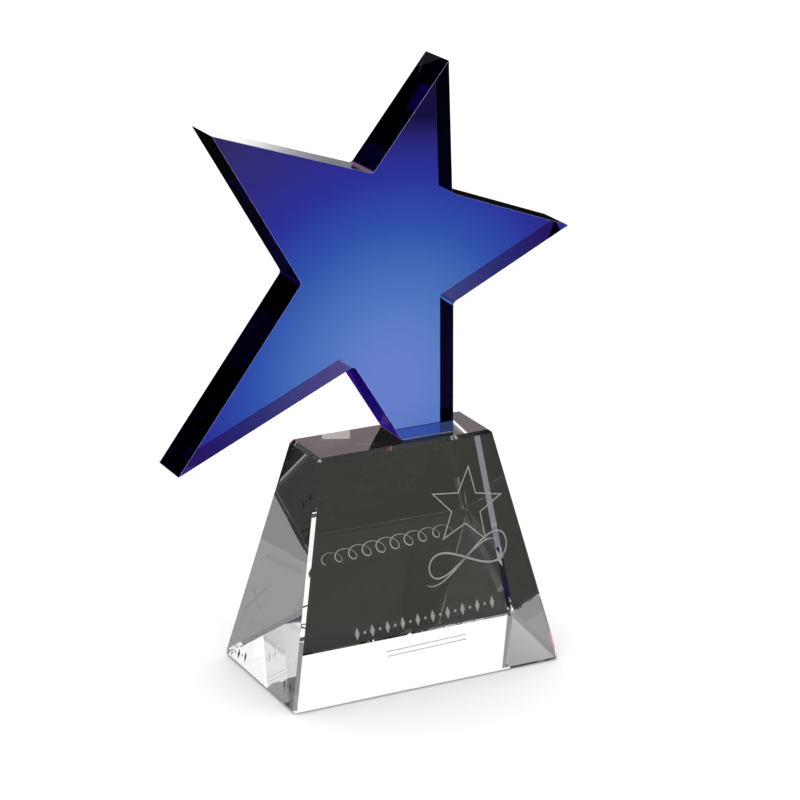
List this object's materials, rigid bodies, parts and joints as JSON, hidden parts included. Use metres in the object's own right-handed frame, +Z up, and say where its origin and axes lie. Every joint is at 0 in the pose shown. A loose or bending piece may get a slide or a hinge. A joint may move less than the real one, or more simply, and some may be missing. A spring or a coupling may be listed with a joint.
{
  "type": "star trophy",
  "caption": "Tilted crystal star plate standing on one cut leg, bonded on top of a clear crystal block that tapers upwards to a narrow top.",
  "frame": {"origin": "centre of the base block's underside, on the surface that the trophy stands on", "axes": "+Z up, the engraved front faces -Y, and the star's long lower arm points to -X"},
  "size_m": [0.1592, 0.0626, 0.2313],
  "materials": {
    "clear_crystal": "polished",
    "clear_adhesive": "clear, UV cured",
    "blue_crystal": "polished"
  },
  "bodies": {
    "root": {"base_block": "clear_crystal", "adhesive_film": "clear_adhesive", "star_plate": "blue_crystal"}
  },
  "joints": []
}
